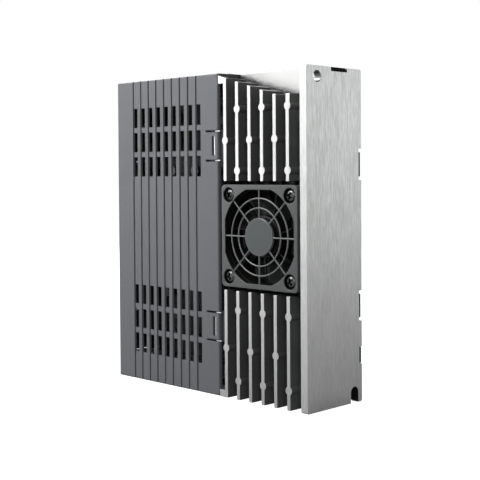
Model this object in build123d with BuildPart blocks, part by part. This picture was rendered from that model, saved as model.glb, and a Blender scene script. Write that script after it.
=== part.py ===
from build123d import *
import os
from math import cos, radians, sin

# A compact panel-mount servo drive: brushed mounting plate, finned casting with a small fan,
# plastic housing with a vented side cover, and the electronics inside.
#
# Frame: +Z up, the front (display, keys, connectors) faces -Y, the mounting face is +Y and the
# fan side is +X.  X and Y are centred on the outer box and Z = 0 is the lowest face.
# Depths into the drive are given as "back" values: millimetres forward of the mounting face.

os.makedirs("parts", exist_ok=True)

# ---------------------------------------------------------------- overall sizes
width = 40.0
depth = 137.0
height = 160.0

# ---------------------------------------------------------------- general fits
seat_gap = 0.2            # between two pieces that meet without being pressed together
shell_gap = 0.1           # between the housing's edge and the side cover
run_gap = 0.08            # radial running clearance of keys and fan shaft
thread_gap = 0.05         # radial gap between a screw's shank and its hole

# ---------------------------------------------------------------- mounting plate
plate_thick = 4.0
plate_edge = 1.0          # rounding of the plate's four upright corners
hole_dia = 5.6
hole_from_side = 7.7
hole_from_top = 5.0
slot_width = 5.6
slot_from_side = 5.8
slot_rise = 5.0           # height of the slot's arc centre
top_notch_from_side = 10.5
top_notch_long = 11.8
top_notch_deep = 2.0
side_notch_deep = 2.0
side_notches = ((18.2, 8.3), (39.0, 14.6), (106.8, 15.3))   # lowest height and length of each

# ---------------------------------------------------------------- casting
fin_long = 14.0
fin_thick = 2.0
fin_pitch = 8.27
fin_count = 6
fin_first = 11.7          # back value of the rearmost fin's middle
base_thick = 4.0
base_front = 56.0         # back value of the base wall's front end
fin_flat_drop = 12.5      # from the top of the drive to the flat part of the fin tops
fin_flat_to = 20.0        # back value where the fin tops start to rise
fin_rise = 0.30           # rise of the fin tops per millimetre forward
pin_boss_dia = 4.0
pad_proud = 0.5
pad_low = 143.0
odd_boss_heights = (24.5, height - 33.4)
even_boss_heights = (9.2, 43.6, height - 48.2, height - 18.2)
lip_reach = 3.6           # how far the casting's top and bottom lips stand out from the front fin
lip_deep = 5.7            # how far the lips reach in from the casting's outer side
lip_thick = 3.0
foot_wide = 16.0
foot_thick = 3.0
foot_low = 18.0
foot_high_drop = 10.0
plate_screw_inset = 10.0
plate_screw_heights = (26.0, 68.0, 100.0, 142.0)
post_dia = 6.0

# ---------------------------------------------------------------- fan and guard
fan_size = 50.0
fan_thick = 10.0
fan_centre = 30.7         # back value of the fan's axis
fan_screw_pitch = 40.0
fan_bore = 47.0
pocket_gap = 1.8          # between the fan and the cut fins
pocket_deep = 1.5         # how far the pocket's floor is cut into the base wall
fan_wall = 1.5
fan_base_dia = 22.0
fan_tube_dia = 6.0
fan_strut = 2.4
rotor_dia = 21.0
rotor_wall = 1.5
blade_count = 7
blade_tip = 22.2
shaft_dia = 2.0
guard_thick = 3.0
guard_corner = 1.6
guard_opening = 48.0
guard_flat = 22.6
guard_bar_thick = 1.4
guard_bar = 1.0
guard_disc = 18.3
guard_rings = (37.1, 27.8)    # middle diameters, the outer ring first
screw_well_dia = 7.2
screw_well_deep = 2.2
screw_dia = 3.0
screw_head_dia = 5.5
screw_head_high = 2.0

# ---------------------------------------------------------------- housing and covers
housing_wall = 1.6
cover_thick = 2.0
cover_rear = 58.0         # back value of the side cover's rear edge
groove_wide = 1.0
groove_deep = 0.9
groove_pitch = 6.2
groove_first = 73.8
groove_count = 9
vent_wide = 3.8
vent_high = 10.3
vent_pitch = 13.0
vent_rows = 3
vent_from_end = 14.65
vent_relief = 0.6         # how far the inside of the cover is thinned around the air slots
vent_border = 0.9
tongue_long = 8.8
tongue_slit = 1.0
tongues = ((27.3, 14.1), (height - 43.1, 14.6))      # lowest height and length of each snap tongue
catch_from_edge = 2.1
catch_window = 2.3
catch_high = 9.6
catch_gap = 0.1
catch_nose = 1.4
catch_thick = 1.1
finger_high = 0.6         # small fingers of the casting in the open ends of the tongue's slits
finger_back = 56.9
panel_thick = 2.0
recess_clear = 1.0        # between the power board and the pocket for the lower mounting screw
recess_high = 14.0
recess_flat = 16.0
recess_long = 46.0
recess_wall = 1.4

# ---------------------------------------------------------------- boards and parts on them
board_thick = 1.6
module_space = 7.4        # between the casting's base wall and the power board
power_board_back = 9.5
power_board_front = 124.0
board_margin = 8.0
control_space = 8.3       # between the power board and the control board
control_back = 85.0
control_front = 132.0
control_low = 14.0
control_high = 119.0
display_board_back = 126.5
display_board_low = 125.0
display_board_high = 154.0
display_board_wide = 32.0
display_size = (30.0, 10.0, 6.4)
display_height = 143.0
key_dia = 4.6
key_flange = 5.8
key_pitch = 6.2
key_height = 130.0
key_travel = 0.5
key_switch_high = 3.5
pole_pitch = 7.62
port_deep = 19.0
port_high = 13.0

# ---------------------------------------------------------------- places worked out from these
side = width / 2
back = depth / 2
base_out = side - fin_long
base_in = base_out - base_thick
guard_rear = side - guard_thick
fan_rear = guard_rear - fan_thick
cover_in = side - cover_thick
shell_in = -side + housing_wall
power_x = base_in - module_space - board_thick      # outer face of the power board
power_in = power_x + board_thick
control_x = power_in + control_space
control_in = control_x + board_thick
hole_x = side - hole_from_side
hole_z = height - hole_from_top
slot_x = -side + slot_from_side
fan_z = height / 2
partition_back = base_front + seat_gap
partition_front = partition_back + housing_wall
panel_back = depth - panel_thick
shell_front = panel_back - seat_gap
roof_flat = height - fin_flat_drop


def y_at(back_value):
    """Y of a place given as millimetres forward of the mounting face."""
    return back - back_value


def fin_top(back_value):
    """Height of the fins' tops, flat at the rear and rising towards the front."""
    return roof_flat + fin_rise * max(back_value - fin_flat_to, 0)


def side_plane(x):
    """Upright plane facing +X: sketch x is +Y and sketch y is +Z."""
    return Plane.YZ.offset(x)


def front_plane(y):
    """Upright plane facing the front, -Y: sketch x is +X and sketch y is +Z."""
    return Plane.XZ.offset(-y)


def block(x_span, back_span, z_span, mode=Mode.ADD):
    """A box between two X values, two back values and two heights."""
    y_span = (y_at(back_span[1]), y_at(back_span[0]))
    centre = ((x_span[0] + x_span[1]) / 2, (y_span[0] + y_span[1]) / 2, (z_span[0] + z_span[1]) / 2)
    with Locations(centre):
        Box(x_span[1] - x_span[0], y_span[1] - y_span[0], z_span[1] - z_span[0], mode=mode)


def rod_x(x_span, back_value, z, diameter, mode=Mode.ADD):
    """A round bar along X."""
    with BuildSketch(side_plane(x_span[0])) as disc:
        with Locations((y_at(back_value), z)):
            Circle(diameter / 2)
    extrude(disc.sketch, amount=x_span[1] - x_span[0], mode=mode)


def rod_y(x, back_span, z, diameter, mode=Mode.ADD):
    """A round bar along Y."""
    with BuildSketch(front_plane(y_at(back_span[0]))) as disc:
        with Locations((x, z)):
            Circle(diameter / 2)
    extrude(disc.sketch, amount=back_span[1] - back_span[0], mode=mode)


def save(builder, name):
    """Label a finished piece and write it."""
    builder.part.label = name
    export_step(builder.part, f"parts/{name}.step")


# ================================================================ mounting plate
# Brushed aluminium plate that bolts to the panel, with a hole at the top and a slot at the foot.
with BuildPart() as mounting_plate:
    with BuildSketch(front_plane(back)):
        with Locations((0, height / 2)):
            RectangleRounded(width, height, plate_edge)
        with Locations((hole_x, hole_z)):
            Circle(hole_dia / 2, mode=Mode.SUBTRACT)
        with Locations((slot_x, slot_rise)):
            Circle(slot_width / 2, mode=Mode.SUBTRACT)
        with Locations((slot_x, slot_rise / 2)):
            Rectangle(slot_width, slot_rise, mode=Mode.SUBTRACT)
        with Locations((-side + top_notch_from_side + top_notch_long / 2, height - top_notch_deep / 2)):
            Rectangle(top_notch_long, top_notch_deep, mode=Mode.SUBTRACT)
        for low, long in side_notches:
            with Locations((-side + side_notch_deep / 2, low + long / 2)):
                Rectangle(side_notch_deep, long, mode=Mode.SUBTRACT)
    extrude(amount=plate_thick)
    plate_bore_deep = plate_thick - 0.8
    for z in plate_screw_heights:
        rod_y(base_in - plate_screw_inset, (plate_thick - plate_bore_deep, plate_thick), z,
              screw_dia + 2 * thread_gap, Mode.SUBTRACT)
save(mounting_plate, "mounting_plate")

# ================================================================ casting
# Base wall, foot and fins in one die casting.  The fins are cut away for the fan.
fin_places = [fin_first + fin_pitch * i for i in range(fin_count)]
front_fin = fin_places[-1] + fin_thick / 2
pocket_low = fan_z - fan_size / 2 - pocket_gap
pocket_high = fan_z + fan_size / 2 + pocket_gap
pocket_floor = base_out - pocket_deep
pocket_front = fan_centre + fan_size / 2 + pocket_gap
fan_screw_places = [(fan_centre + i * fan_screw_pitch / 2, fan_z + j * fan_screw_pitch / 2)
                    for i in (-1, 1) for j in (-1, 1)]
board_post_places = [(14.0, 24.0), (14.0, height - 16.0), (48.0, 24.0), (48.0, height - 16.0)]
module_back = 23.5
module_screw_places = [(module_back, fan_z - 24.0), (module_back, fan_z + 24.0)]
earth_link_place = (48.0, 8.0)
lead_place = (fan_centre + 9.8, fan_z - 23.0)
lead_hole_dia = 4.0
housing_screw_heights = (34.0, 132.0)
housing_screw_back = 7.5
housing_screw_long = 8.0

with BuildPart() as heat_sink:
    block((base_in, base_out), (plate_thick, base_front), (0, height))
    for place in fin_places:
        block((base_out, side), (place - fin_thick / 2, place + fin_thick / 2), (0, height))
    for number, place in enumerate(reversed(fin_places)):
        for z in (even_boss_heights if number % 2 else odd_boss_heights):
            rod_x((base_out, side), place, z, pin_boss_dia)
    # lips of the front fin that close the recess beside the side cover
    block((side - lip_deep, side), (front_fin - fin_thick, front_fin + lip_reach),
          (fin_top(front_fin) - lip_thick, height))
    block((side - lip_deep, side), (front_fin - fin_thick, front_fin + lip_reach), (0, lip_thick + 0.5))
    # shallow pad at the top of the rearmost fin
    block((base_out, side), (fin_places[0] - fin_thick / 2 - pad_proud, fin_places[0]), (pad_low, height))
    # slanted cut above the fins, which clears a screwdriver for the upper mounting hole
    with BuildSketch(side_plane(base_out)):
        with BuildLine():
            Polyline((y_at(0), roof_flat), (y_at(fin_flat_to), roof_flat),
                     (y_at(cover_rear), fin_top(cover_rear)), (y_at(cover_rear), height + 1),
                     (y_at(0), height + 1), close=True)
        make_face()
    extrude(amount=fin_long, mode=Mode.SUBTRACT)
    # fan pocket: fins cut down to low ribs, with a post under each fan screw
    block((fan_rear, side), (plate_thick, cover_rear), (pocket_low, pocket_high), Mode.SUBTRACT)
    block((pocket_floor, fan_rear), (plate_thick, base_front), (pocket_low, pocket_high), Mode.SUBTRACT)
    for place in fin_places:
        block((pocket_floor, fan_rear), (place - fin_thick / 2, place + fin_thick / 2),
              (pocket_low, pocket_high))
    for place, z in fan_screw_places:
        rod_x((pocket_floor, fan_rear), place, z, post_dia + 1)
    for place, z in fan_screw_places:
        rod_x((base_in + 1.2, fan_rear), place, z, screw_dia + 2 * thread_gap, Mode.SUBTRACT)
    # catches for the side cover's snap tongues, with a finger in the open end of each slit
    for low, long in tongues:
        mid = low + long / 2
        half = catch_high / 2 - catch_gap
        catch_heel = cover_rear + catch_from_edge + catch_gap
        block((side - lip_deep, cover_in - seat_gap), (front_fin - fin_thick, catch_heel + catch_thick),
              (low - finger_high, low + long + finger_high))
        block((cover_in - seat_gap, cover_in + catch_nose), (catch_heel, catch_heel + catch_thick),
              (mid - half, mid + half))
        for z in (low, low + long):
            block((cover_in - seat_gap, side - 0.4), (finger_back, catch_heel),
                  (z - finger_high / 2, z + finger_high / 2))
    # foot against the mounting plate, with pads for the housing screws
    block((base_in - foot_wide, base_in), (plate_thick, plate_thick + foot_thick),
          (foot_low, height - foot_high_drop))
    for z in housing_screw_heights:
        block((shell_in + seat_gap, power_x - 1), (plate_thick, plate_thick + 7),
              (z - 4, z + 4))
        rod_x((shell_in, shell_in + housing_screw_long), housing_screw_back, z,
              screw_dia + 2 * thread_gap, Mode.SUBTRACT)
    for z in plate_screw_heights:
        rod_y(base_in - plate_screw_inset, (plate_thick, plate_thick + foot_thick), z,
              screw_dia + 2 * thread_gap, Mode.SUBTRACT)
    # posts for the power board, and threads for the module and the earth bracket
    for place, z in board_post_places:
        rod_x((power_in, base_in), place, z, post_dia)
        rod_x((power_in, base_in + 1), place, z, screw_dia + 2 * thread_gap, Mode.SUBTRACT)
    for place, z in module_screw_places + [earth_link_place]:
        rod_x((base_in, base_in + 1.6), place, z, screw_dia + 2 * thread_gap, Mode.SUBTRACT)
    rod_x((base_in, base_out), *lead_place, lead_hole_dia, Mode.SUBTRACT)
save(heat_sink, "heat_sink")

with BuildPart() as plate_screws:
    for z in plate_screw_heights:
        x = base_in - plate_screw_inset
        rod_y(x, (plate_thick - plate_bore_deep + 0.2, plate_thick + foot_thick), z, screw_dia)
        rod_y(x, (plate_thick + foot_thick, plate_thick + foot_thick + screw_head_high), z, screw_head_dia)
save(plate_screws, "plate_screws")

# ================================================================ fan
# Axial fan with its axis along X: frame, stator, bearing, shaft and rotor.
fan_y = y_at(fan_centre)
hub_front = guard_rear - 0.6
motor_floor = fan_rear + fan_wall

with BuildPart() as fan_frame:
    with BuildSketch(side_plane(fan_rear)):
        with Locations((fan_y, fan_z)):
            RectangleRounded(fan_size, fan_size, guard_corner)
            Circle(fan_bore / 2, mode=Mode.SUBTRACT)
            with GridLocations(fan_screw_pitch, fan_screw_pitch, 2, 2):
                Circle(screw_dia / 2 + 0.2, mode=Mode.SUBTRACT)
    extrude(amount=fan_thick)
    with BuildSketch(side_plane(fan_rear)):
        with Locations((fan_y, fan_z)):
            Circle(fan_base_dia / 2)
            for turn in (45, 135):
                Rectangle(fan_bore + 2, fan_strut, rotation=turn)
    extrude(amount=fan_wall)
    rod_x((motor_floor, motor_floor + 5.5), fan_centre, fan_z, fan_tube_dia)
    rod_x((motor_floor, motor_floor + 5.5), fan_centre, fan_z, fan_tube_dia - 2, Mode.SUBTRACT)
save(fan_frame, "fan_frame")

with BuildPart() as fan_bearing:
    rod_x((motor_floor, motor_floor + 5.2), fan_centre, fan_z, fan_tube_dia - 2 - 2 * thread_gap)
    rod_x((motor_floor, motor_floor + 5.2), fan_centre, fan_z, shaft_dia + 2 * run_gap, Mode.SUBTRACT)
save(fan_bearing, "fan_bearing")

with BuildPart() as fan_shaft:
    rod_x((motor_floor + 0.2, hub_front - 0.8), fan_centre, fan_z, shaft_dia)
save(fan_shaft, "fan_shaft")

stator_low = motor_floor + 0.8
with BuildPart() as fan_stator:
    with BuildSketch(side_plane(stator_low)):
        with Locations((fan_y, fan_z)):
            Circle(fan_tube_dia / 2 + 1.6)
            with PolarLocations(4.8, 4):
                Rectangle(5.4, 2.6)
            with PolarLocations(7.3, 4):
                Rectangle(1.2, 6.0)
            Circle(fan_tube_dia / 2 + thread_gap, mode=Mode.SUBTRACT)
    extrude(amount=3.6)
    rod_x((motor_floor, stator_low), fan_centre, fan_z, 15.0)
    rod_x((motor_floor, stator_low), fan_centre, fan_z, fan_tube_dia + 2 * thread_gap, Mode.SUBTRACT)
save(fan_stator, "fan_stator")

with BuildPart() as fan_rotor:
    rod_x((motor_floor + 0.5, hub_front), fan_centre, fan_z, rotor_dia)
    fillet(fan_rotor.faces().sort_by(Axis.X)[-1].edges(), 0.8)
    rod_x((motor_floor + 0.5, hub_front - 1.2), fan_centre, fan_z, rotor_dia - 2 * rotor_wall, Mode.SUBTRACT)
    rod_x((motor_floor + 5.8, hub_front - 1.2), fan_centre, fan_z, 5.0)
    rod_x((motor_floor, hub_front - 0.8), fan_centre, fan_z, shaft_dia, Mode.SUBTRACT)
    blade_mid = (motor_floor + hub_front) / 2
    for step in range(blade_count):
        turn = 360 / blade_count * step
        out = Vector(0, cos(radians(turn)), sin(radians(turn)))
        across = Vector(0, -sin(radians(turn)), cos(radians(turn)))
        for reach, chord, pitch in ((rotor_dia / 2 - 0.8, 8.4, 45), (blade_tip, 11.5, 62)):
            centre = Vector(blade_mid, fan_y, fan_z) + out * reach
            along = Vector(cos(radians(pitch)), 0, 0) + across * sin(radians(pitch))
            with BuildSketch(Plane(origin=centre, x_dir=along, z_dir=out)):
                Rectangle(chord, 0.9)
        loft()
save(fan_rotor, "fan_rotor")

# two leads through the base wall to the plug on the power board
lead_y_step = 0.75
plug_top = power_in + 5.0
with BuildPart() as fan_leads:
    for sign in (-1, 1):
        rod_x((plug_top, fan_rear), lead_place[0] + sign * lead_y_step, lead_place[1], 1.2)
save(fan_leads, "fan_leads")

with BuildPart() as fan_plug:
    block((power_in, plug_top), (lead_place[0] - 3.2, lead_place[0] + 3.2),
          (lead_place[1] - 2.4, lead_place[1] + 2.4))
save(fan_plug, "fan_plug")

# ---------------------------------------------------------------- guard and its screws
with BuildPart() as fan_guard:
    with BuildSketch(side_plane(guard_rear)):
        with Locations((fan_y, fan_z)):
            RectangleRounded(fan_size, fan_size, guard_corner)
    extrude(amount=guard_thick)
    chamfer(fan_guard.faces().sort_by(Axis.X)[-1].edges(), 0.4)
    with BuildSketch(side_plane(guard_rear)):
        with Locations((fan_y, fan_z)):
            Circle(guard_opening / 2)
            Rectangle(2 * guard_flat, 2 * guard_flat, mode=Mode.INTERSECT)
    extrude(amount=guard_thick, mode=Mode.SUBTRACT)
    with BuildSketch(side_plane(side - guard_bar_thick)):
        with Locations((fan_y, fan_z)):
            Circle(guard_disc / 2)
            for turn in range(0, 180, 45):
                Rectangle(guard_opening + 1, guard_bar, rotation=turn)
        for ring in guard_rings:
            with Locations((fan_y, fan_z)):
                Circle(ring / 2 + guard_bar / 2)
                Circle(ring / 2 - guard_bar / 2, mode=Mode.SUBTRACT)
                for turn in range(0, 180, 45):
                    Rectangle(ring, guard_bar, rotation=turn)
                Circle(guard_disc / 2)
    extrude(amount=guard_bar_thick)
    for place, z in fan_screw_places:
        rod_x((guard_rear, side), place, z, screw_dia + 0.4, Mode.SUBTRACT)
        rod_x((side - screw_well_deep, side), place, z, screw_well_dia, Mode.SUBTRACT)
save(fan_guard, "fan_guard")

head_seat = side - screw_well_deep
with BuildPart() as guard_screws:
    for place, z in fan_screw_places:
        rod_x((base_in + 1.6, head_seat), place, z, screw_dia)
        rod_x((head_seat, head_seat + screw_head_high), place, z, screw_head_dia)
        head_top = head_seat + screw_head_high
        block((head_top - 1.2, head_top), (place - 1.5, place + 1.5), (z - 0.35, z + 0.35), Mode.SUBTRACT)
        block((head_top - 1.2, head_top), (place - 0.35, place + 0.35), (z - 1.5, z + 1.5), Mode.SUBTRACT)
save(guard_screws, "guard_screws")

# ================================================================ housing
# Plastic shell: the closed side wall, top and bottom, the partition beside the fins, the pocket
# in front of the lower mounting slot, and the tabs that hook into the mounting plate.
recess_in = power_x - recess_clear - recess_wall
wall_top = height - housing_wall
top_tab = (-side + top_notch_from_side + 0.9, -side + top_notch_from_side + top_notch_long - 0.2)
tab_reach = 0.5
tab_end_play = (0.3, 1.6, 1.8)     # at each end of the three side tabs, in their notches
tab_insets = (0.0, 0.8, 0.8)       # how far each side tab lies in from the housing's outer face
notch_gap = 0.1
top_slot_places = [70.0 + 8.0 * i for i in range(7)]
panel_hooks = ((-14.0, -8.0), (5.0, 11.0))
hook_window = (127.5, 130.5)
front_boss_places = [(112.0, 15.0), (112.0, height - 14.0)]

with BuildPart() as main_housing:
    block((-side, shell_in), (plate_thick, shell_front), (0, height))
    for low in (0, wall_top):
        block((-side, base_in - seat_gap), (plate_thick, shell_front), (low, low + housing_wall))
        block((base_in - 1, cover_in - shell_gap), (partition_front, shell_front), (low, low + housing_wall))
    block((base_in + 0.3, side - lip_deep - 0.3), (partition_back, partition_front), (0, height))
    # pocket for the lower mounting screw, with a roof that slopes down towards the front
    for x_span, drop in (((shell_in, recess_in + recess_wall), 0.0), ((shell_in, recess_in), recess_wall)):
        with BuildSketch(side_plane(x_span[0])):
            with BuildLine():
                Polyline((y_at(plate_thick), 0), (y_at(plate_thick), recess_high + recess_wall - drop),
                         (y_at(recess_flat), recess_high + recess_wall - drop),
                         (y_at(recess_long - drop), housing_wall + recess_wall - drop),
                         (y_at(recess_long - drop), 0), close=True)
            make_face()
        extrude(amount=x_span[1] - x_span[0], mode=Mode.SUBTRACT if drop else Mode.ADD)
    # tabs in the notches of the mounting plate
    block(top_tab, (tab_reach, plate_thick), (wall_top, height))
    for (low, long), play, inset in zip(side_notches, tab_end_play, tab_insets):
        block((-side + inset, -side + side_notch_deep - notch_gap), (tab_reach, plate_thick),
              (low + play, low + long - play))
    # bosses for the front of the power board
    for place, z in front_boss_places:
        rod_x((shell_in, power_x), place, z, post_dia)
        rod_x((power_x - 7, power_x), place, z, screw_dia + 2 * thread_gap, Mode.SUBTRACT)
    # air slots and the windows of the front panel's hooks
    for low in (0, wall_top):
        for place in top_slot_places:
            block((-4.0, 14.0), (place, place + 3.5), (low, low + housing_wall), Mode.SUBTRACT)
        for hook in panel_hooks:
            block((hook[0] - 0.3, hook[1] + 0.3), hook_window, (low, low + housing_wall), Mode.SUBTRACT)
    for z in housing_screw_heights:
        rod_x((-side, shell_in), housing_screw_back, z, screw_dia + 0.4, Mode.SUBTRACT)
        with BuildSketch(side_plane(-side)):
            with Locations((y_at(housing_screw_back), z)):
                Circle(screw_head_dia / 2 + 0.1)
        extrude(amount=1.3, taper=42, mode=Mode.SUBTRACT)
save(main_housing, "main_housing")

with BuildPart() as housing_screws:
    for z in housing_screw_heights:
        rod_x((-side + 0.05, shell_in + housing_screw_long - 0.5), housing_screw_back, z, screw_dia)
        with BuildSketch(side_plane(-side + 0.05)):
            with Locations((y_at(housing_screw_back), z)):
                Circle(screw_head_dia / 2)
        extrude(amount=1.2, taper=42)
save(housing_screws, "housing_screws")

# ================================================================ side cover
# Flat cover with upright grooves, two blocks of air slots and two snap tongues.
groove_places = [groove_first + groove_pitch * i for i in range(groove_count)]
vent_lows = [vent_from_end + vent_pitch * i for i in range(vent_rows)]
vent_lows += [height - low - vent_high for low in vent_lows]

with BuildPart() as side_cover:
    with BuildSketch(side_plane(cover_in)):
        with Locations(((y_at(cover_rear) - back) / 2, height / 2)):
            Rectangle(depth - cover_rear, height)
    extrude(amount=cover_thick)
    outer_edges = side_cover.faces().sort_by(Axis.X)[-1].edges()
    fillet(outer_edges, 0.8)
    with BuildSketch(side_plane(side - groove_deep)):
        for place in groove_places:
            with Locations((y_at(place), height / 2)):
                Rectangle(groove_wide, height)
    extrude(amount=groove_deep, mode=Mode.SUBTRACT)
    with BuildSketch(side_plane(cover_in)):
        for place in groove_places:
            for low in vent_lows:
                front_edge = y_at(place) - groove_wide / 2
                with Locations((front_edge + vent_wide / 2, low + vent_high / 2)):
                    Rectangle(vent_wide, vent_high)
        for low, long in tongues:
            for z in (low, low + long):
                with Locations((y_at(cover_rear + tongue_long / 2), z)):
                    Rectangle(tongue_long, tongue_slit)
            with Locations((y_at(cover_rear + catch_from_edge + catch_window / 2), low + long / 2)):
                Rectangle(catch_window, catch_high)
    extrude(amount=cover_thick, mode=Mode.SUBTRACT)
    # the cover is thinned from the inside around each block of air slots
    block_long = (vent_rows - 1) * vent_pitch + vent_high
    slots_rear = groove_places[0] + groove_wide / 2 - vent_wide
    slots_front = groove_places[-1] + groove_wide / 2
    for low in (vent_lows[0], height - vent_lows[0] - block_long):
        block((cover_in, cover_in + vent_relief), (slots_rear - vent_border, slots_front + vent_border),
              (low - vent_border, low + block_long + vent_border), Mode.SUBTRACT)
    # locating lips inside the top and bottom of the housing
    for low in (housing_wall + 0.3, wall_top - 0.3 - 1.5):
        block((cover_in - 3, cover_in), (66.0, 126.0), (low, low + 1.5))
save(side_cover, "side_cover")

# ================================================================ front panel
# Front bezel with openings for the display, keys, terminals and sockets, and four snap hooks.
panel_right = cover_in - shell_gap
block_gap = 0.3
terminal_x = (shell_in + seat_gap, power_x - seat_gap)
supply_poles = 8
motor_poles = 4
terminal_margin = 1.2
supply_low = 54.0
motor_low = 19.0
supply_z = (supply_low, supply_low + supply_poles * pole_pitch + 2 * terminal_margin)
motor_z = (motor_low, motor_low + motor_poles * pole_pitch + 2 * terminal_margin)
terminal_back = 116.0
terminal_front = depth - 0.6
port_x = (control_in, control_in + port_high)
port_front = depth - 0.5
network_lows = (90.0, 72.0)
network_wide = 16.0
signal_z = (40.0, 68.0)
signal_x = (control_in, control_in + 10.0)
encoder_z = (22.0, 35.0)
encoder_x = (control_in, control_in + 11.0)
usb_z = (109.0, 117.0)
usb_x = (control_in, control_in + 4.0)
lamp_x = -13.5
lamp_z = 121.5
lamp_dia = 3.0
key_places = [key_pitch * i for i in range(-2, 3)]
window_size = (29.0, 11.5)
window_thick = 0.9
bracket_thick = 1.4
bracket_low = 3.6
bracket_high = 13.0
bracket_end = 6.5         # from an earth screw's axis to the bracket's end
earth_screw_x = base_in + 5.5
earth_screw_places = (-earth_screw_x, earth_screw_x)
earth_screw_dia = 4.0
earth_head_dia = 7.5
earth_z = 8.4
board_boss_places = (-13.0, 13.0)
board_boss_z = 135.4

with BuildPart() as front_panel:
    with BuildSketch(front_plane(y_at(panel_back))):
        with Locations(((panel_right - side) / 2, height / 2)):
            Rectangle(panel_right + side, height)
        cutouts = [(terminal_x, supply_z), (terminal_x, motor_z), (signal_x, signal_z),
                   (encoder_x, encoder_z), (usb_x, usb_z)]
        cutouts += [(port_x, (low, low + network_wide)) for low in network_lows]
        for x_span, z_span in cutouts:
            with Locations(((x_span[0] + x_span[1]) / 2, (z_span[0] + z_span[1]) / 2)):
                Rectangle(x_span[1] - x_span[0] + 2 * block_gap - 0.3, z_span[1] - z_span[0] + 2 * block_gap,
                          mode=Mode.SUBTRACT)
        with Locations((0, display_height)):
            Rectangle(window_size[0] - 3, window_size[1] - 3, mode=Mode.SUBTRACT)
        for x in key_places:
            with Locations((x, key_height)):
                Circle(key_dia / 2 + run_gap, mode=Mode.SUBTRACT)
        with Locations((lamp_x, lamp_z)):
            Circle(lamp_dia / 2 + thread_gap, mode=Mode.SUBTRACT)
        with Locations((0, earth_z)):
            Rectangle(2 * earth_screw_x + earth_head_dia + 4, earth_head_dia + 2, mode=Mode.SUBTRACT)
    extrude(amount=panel_thick)
    block((-window_size[0] / 2, window_size[0] / 2), (depth - 1.0, depth),
          (display_height - window_size[1] / 2, display_height + window_size[1] / 2), Mode.SUBTRACT)
    for x in board_boss_places:
        rod_y(x, (display_board_back + board_thick, panel_back), board_boss_z, 4.4)
        rod_y(x, (display_board_back + board_thick, panel_back), board_boss_z, 2.1, Mode.SUBTRACT)
    for hook in panel_hooks:
        for low, nose in ((housing_wall + 0.3, -1.3), (wall_top - 1.3, 1.3)):
            block(hook, (hook_window[0] + 0.5, panel_back), (low, low + 1.0))
            block(hook, (hook_window[0] + 0.5, hook_window[0] + 2.0),
                  (low + min(nose, 0), low + 1.0 + max(nose, 0)))
save(front_panel, "front_panel")

with BuildPart() as display_window:
    block((-window_size[0] / 2 + 0.1, window_size[0] / 2 - 0.1), (depth - 1.0, depth - 1.0 + window_thick),
          (display_height - window_size[1] / 2 + 0.1, display_height + window_size[1] / 2 - 0.1))
save(display_window, "display_window")

with BuildPart() as charge_lamp:
    rod_y(lamp_x, (power_board_front - 2, depth - 0.3), lamp_z, lamp_dia)
    rod_y(lamp_x, (panel_back - 1.2, panel_back), lamp_z, lamp_dia + 1.6)
save(charge_lamp, "charge_lamp")

# ---------------------------------------------------------------- keys
key_names = ("mode_key", "up_key", "down_key", "shift_key", "set_key")
switch_front = display_board_back + board_thick + key_switch_high
key_rear = switch_front + key_travel + 0.1
for name, x in zip(key_names, key_places):
    with BuildPart() as key:
        rod_y(x, (key_rear, depth - 0.3), key_height, key_dia)
        fillet(key.faces().sort_by(Axis.Y)[0].edges(), 0.5)
        rod_y(x, (panel_back - seat_gap - 1.0, panel_back - seat_gap), key_height, key_flange)
    save(key, name)

with BuildPart() as key_switches:
    for x in key_places:
        block((x - 2.4, x + 2.4), (display_board_back + board_thick, switch_front - 0.8),
              (key_height - 2.4, key_height + 2.4))
        rod_y(x, (switch_front - 0.8, switch_front), key_height, 2.4)
save(key_switches, "key_switches")

display_front = display_board_back + board_thick + display_size[2]
with BuildPart() as display_module:
    block((-display_size[0] / 2, display_size[0] / 2), (display_board_back + board_thick, display_front),
          (display_height - display_size[1] / 2, display_height + display_size[1] / 2))
save(display_module, "display_module")

with BuildPart() as display_board:
    block((-display_board_wide / 2, display_board_wide / 2),
          (display_board_back, display_board_back + board_thick), (display_board_low, display_board_high))
    for x in board_boss_places:
        rod_y(x, (display_board_back, display_board_back + board_thick), board_boss_z, 2.4, Mode.SUBTRACT)
save(display_board, "display_board")

with BuildPart() as display_screws:
    for x in board_boss_places:
        rod_y(x, (display_board_back, display_board_back + board_thick + 5), board_boss_z, 2.0)
        rod_y(x, (display_board_back - 1.4, display_board_back), board_boss_z, 3.8)
save(display_screws, "display_screws")

# ================================================================ terminals and sockets
terminal_sets = (("supply_terminals", supply_z, supply_poles), ("motor_terminals", motor_z, motor_poles))
for name, z_span, poles in terminal_sets:
    with BuildPart() as terminals:
        block(terminal_x, (terminal_back, terminal_front), z_span)
        for i in range(poles):
            z = z_span[0] + terminal_margin + pole_pitch * (i + 0.5)
            block((terminal_x[1] - 5.4, terminal_x[1] - 1.6), (terminal_front - 9, terminal_front),
                  (z - 1.9, z + 1.9), Mode.SUBTRACT)
            rod_y(terminal_x[0] + 2.7, (terminal_front - 6, terminal_front), z, 3.8, Mode.SUBTRACT)
    save(terminals, name)

with BuildPart() as terminal_screws:
    for z_span, poles in ((supply_z, supply_poles), (motor_z, motor_poles)):
        for i in range(poles):
            z = z_span[0] + terminal_margin + pole_pitch * (i + 0.5)
            rod_y(terminal_x[0] + 2.7, (terminal_front - 6, terminal_front - 2), z, 3.5)
            block((terminal_x[0] + 1.2, terminal_x[0] + 4.2), (terminal_front - 2.8, terminal_front - 2),
                  (z - 0.3, z + 0.3), Mode.SUBTRACT)
save(terminal_screws, "terminal_screws")

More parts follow.
